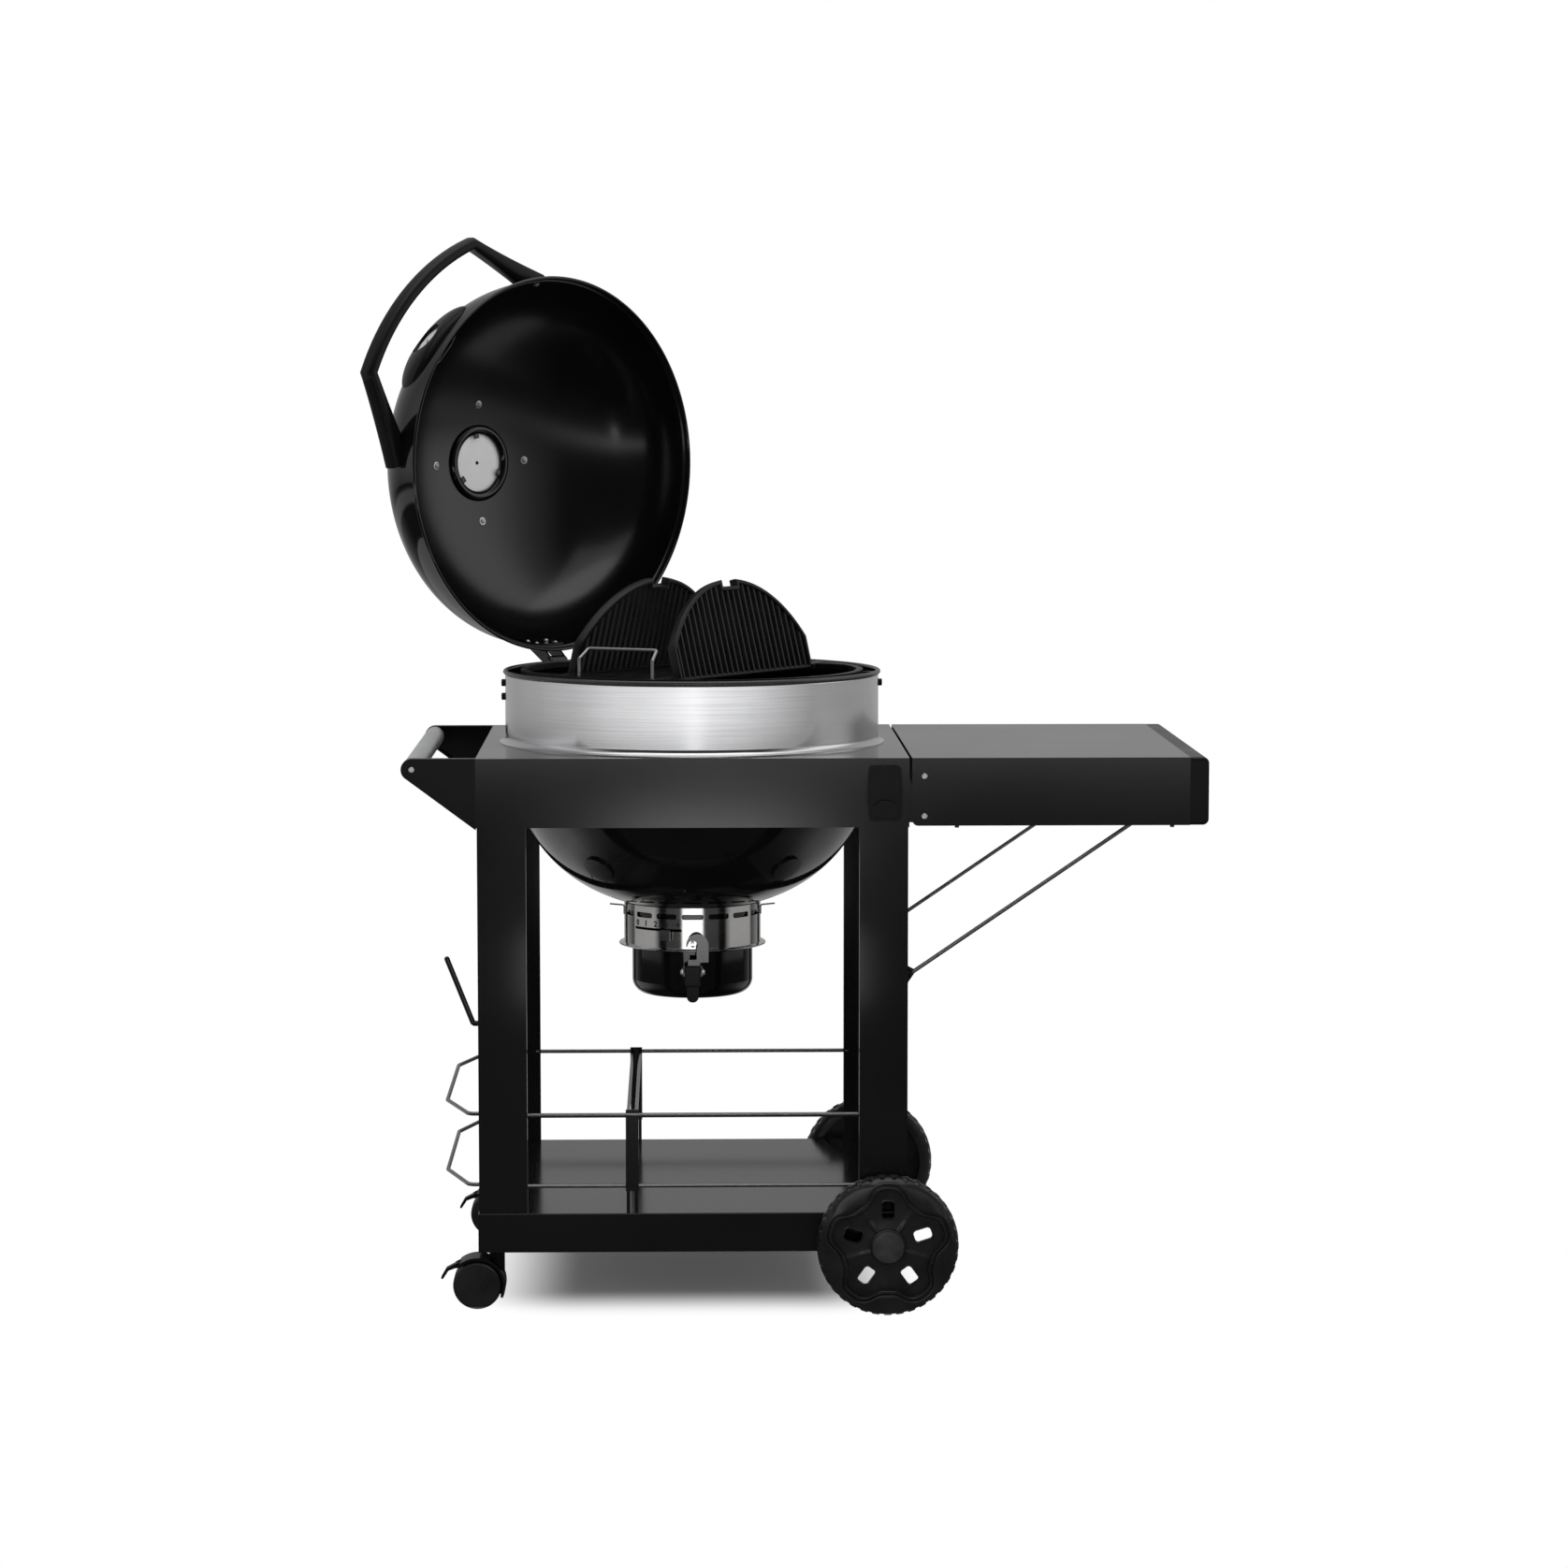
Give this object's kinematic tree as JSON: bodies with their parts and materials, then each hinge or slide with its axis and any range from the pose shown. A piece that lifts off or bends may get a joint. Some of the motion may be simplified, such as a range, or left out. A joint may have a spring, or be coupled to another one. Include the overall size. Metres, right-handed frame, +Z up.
{
  "type": "kettle charcoal grill",
  "caption": "Kettle charcoal grill on a black cart, lid hinged open, with a folding side shelf, ash catcher and hinged grate flaps.",
  "frame": {"origin": "middle of the whole grill's footprint on the floor, with the lid open and the side shelf up", "axes": "+Z up, +X towards the side shelf, -Y towards the cook at the front"},
  "size_m": [1.2648, 0.8367, 1.593],
  "materials": {
    "cart_black": "satin",
    "enamel": "gloss",
    "collar_steel": "brushed",
    "bright_steel": "polished",
    "screw_steel": "satin",
    "wire": "satin",
    "iron": "matt",
    "plastic": "matt",
    "wheel_plastic": "matt",
    "tube_grey": "satin",
    "damper_steel": "brushed",
    "rubber": "matt"
  },
  "bodies": {
    "cart": {"table_top": "cart_black", "front_beam": "cart_black", "back_beam": "cart_black", "side_beams": "cart_black", "front_posts": "cart_black", "back_posts": "cart_black", "bottom_shelf": "cart_black", "cross_wire_rails": "wire", "left_wire_rails": "wire", "bag_divider": "cart_black", "tool_hook": "cart_black", "push_handle_brackets": "plastic", "push_handle_tube": "tube_grey", "cart_screws": "screw_steel", "bottle_opener": "plastic", "shelf_ears": "cart_black", "axle": "screw_steel", "foot_brackets": "cart_black", "bowl": "enamel", "collar": "collar_steel", "collar_bolts": "plastic", "support_discs": "cart_black", "grate_brackets": "enamel", "charcoal_grate": "iron", "cooking_grate": "iron", "grate_handles": "wire", "ash_collar": "bright_steel", "catch_wires": "wire", "kettle_hinge": "cart_black"},
    "shelf": {"shelf_panel": "cart_black", "shelf_end_cap": "plastic", "shelf_stiffeners": "cart_black", "shelf_screws": "screw_steel", "shelf_bumpers": "rubber", "brace_catch": "cart_black"},
    "brace": {"shelf_brace": "wire"},
    "wheel_front": {"wheel_front": "wheel_plastic", "hub_cap_front": "plastic"},
    "wheel_back": {"wheel_back": "wheel_plastic", "hub_cap_back": "plastic"},
    "caster_front": {"caster_hood_front": "plastic"},
    "caster_back": {"caster_hood_back": "plastic"},
    "caster_rollers_front": {"caster_wheels_front": "wheel_plastic"},
    "caster_rollers_back": {"caster_wheels_back": "wheel_plastic"},
    "pedal_front": {"caster_pedal_front": "plastic"},
    "pedal_back": {"caster_pedal_back": "plastic"},
    "flap_left": {"grate_flap_left": "iron"},
    "flap_right": {"grate_flap_right": "iron"},
    "sweeper": {"sweeper": "screw_steel"},
    "ash_pan": {"ash_pan": "enamel"},
    "latch": {"latch_grip": "plastic", "latch_blade": "screw_steel"},
    "lid": {"lid_shell": "enamel", "thermometer": "bright_steel", "lid_handle": "plastic", "lid_vent_ring": "plastic", "lid_vent_cap": "plastic", "lid_hinge_leaf": "cart_black", "lid_fasteners": "screw_steel"},
    "lid_damper": {"lid_vent_disc": "damper_steel"}
  },
  "joints": [
    {"name": "shelf_hinge", "type": "hinge", "parent": "cart", "child": "shelf", "pos_m": [0.21336, -0.05777, 0.736], "axis": [0, 1, 0], "range_deg": [0, 90]},
    {"name": "brace_foot", "type": "hinge", "parent": "cart", "child": "brace", "pos_m": [0.19556, -0.05777, 0.503], "axis": [0, 1, 0], "range_deg": [0, 125]},
    {"name": "wheel_front_spin", "type": "hinge", "parent": "cart", "child": "wheel_front", "pos_m": [0.15936, -0.39477, 0.1045], "axis": [0, 1, 0], "continuous": true},
    {"name": "wheel_back_spin", "type": "hinge", "parent": "cart", "child": "wheel_back", "pos_m": [0.15936, 0.27923, 0.1045], "axis": [0, 1, 0], "continuous": true},
    {"name": "caster_front_swivel", "type": "hinge", "parent": "cart", "child": "caster_front", "pos_m": [-0.41864, -0.32577, 0.06], "axis": [0, 0, 1], "continuous": true},
    {"name": "caster_back_swivel", "type": "hinge", "parent": "cart", "child": "caster_back", "pos_m": [-0.41864, 0.21023, 0.06], "axis": [0, 0, 1], "continuous": true},
    {"name": "caster_front_roll", "type": "hinge", "parent": "caster_front", "child": "caster_rollers_front", "pos_m": [-0.44764, -0.32577, 0.036], "axis": [0, 1, 0], "continuous": true},
    {"name": "caster_back_roll", "type": "hinge", "parent": "caster_back", "child": "caster_rollers_back", "pos_m": [-0.44764, 0.21023, 0.036], "axis": [0, 1, 0], "continuous": true},
    {"name": "pedal_front_press", "type": "hinge", "parent": "caster_front", "child": "pedal_front", "pos_m": [-0.4784, -0.32577, 0.0637], "axis": [0, -1, 0], "range_deg": [0, 12]},
    {"name": "pedal_back_press", "type": "hinge", "parent": "caster_back", "child": "pedal_back", "pos_m": [-0.4784, 0.21023, 0.0637], "axis": [0, -1, 0], "range_deg": [0, 12]},
    {"name": "flap_right_hinge", "type": "hinge", "parent": "cart", "child": "flap_right", "pos_m": [-0.04622, -0.11201, 0.9295], "axis": [0.5592, 0.829, 0], "range_deg": [0, 104]},
    {"name": "flap_left_hinge", "type": "hinge", "parent": "cart", "child": "flap_left", "pos_m": [-0.20705, -0.00353, 0.9295], "axis": [-0.5592, -0.829, 0], "range_deg": [0, 104]},
    {"name": "sweeper_turn", "type": "hinge", "parent": "cart", "child": "sweeper", "pos_m": [-0.12664, -0.05777, 0.5415], "axis": [0, 0, 1], "range_deg": [-30, 9]},
    {"name": "ash_pan_drop", "type": "slide", "parent": "cart", "child": "ash_pan", "axis": [0, 0, -1], "range_m": [0, 0.03]},
    {"name": "latch_hinge", "type": "hinge", "parent": "ash_pan", "child": "latch", "pos_m": [-0.12664, -0.17577, 0.484], "axis": [1, 0, 0], "range_deg": [0, 18]},
    {"name": "lid_hinge", "type": "hinge", "parent": "cart", "child": "lid", "pos_m": [-0.34198, 0.16523, 0.931], "axis": [0.7193, 0.6947, 0], "range_deg": [0, 90]},
    {"name": "lid_damper_turn", "type": "hinge", "parent": "lid", "child": "lid_damper", "pos_m": [-0.47049, 0.2983, 1.241], "axis": [0.6947, -0.7193, 0], "range_deg": [-40, 40]}
  ],
  "couplings": [
    {"joint": "brace_foot", "follows": "shelf_hinge", "ratio": 1.3813},
    {"joint": "latch_hinge", "follows": "ash_pan_drop", "rad_per_m": 10.472}
  ]
}
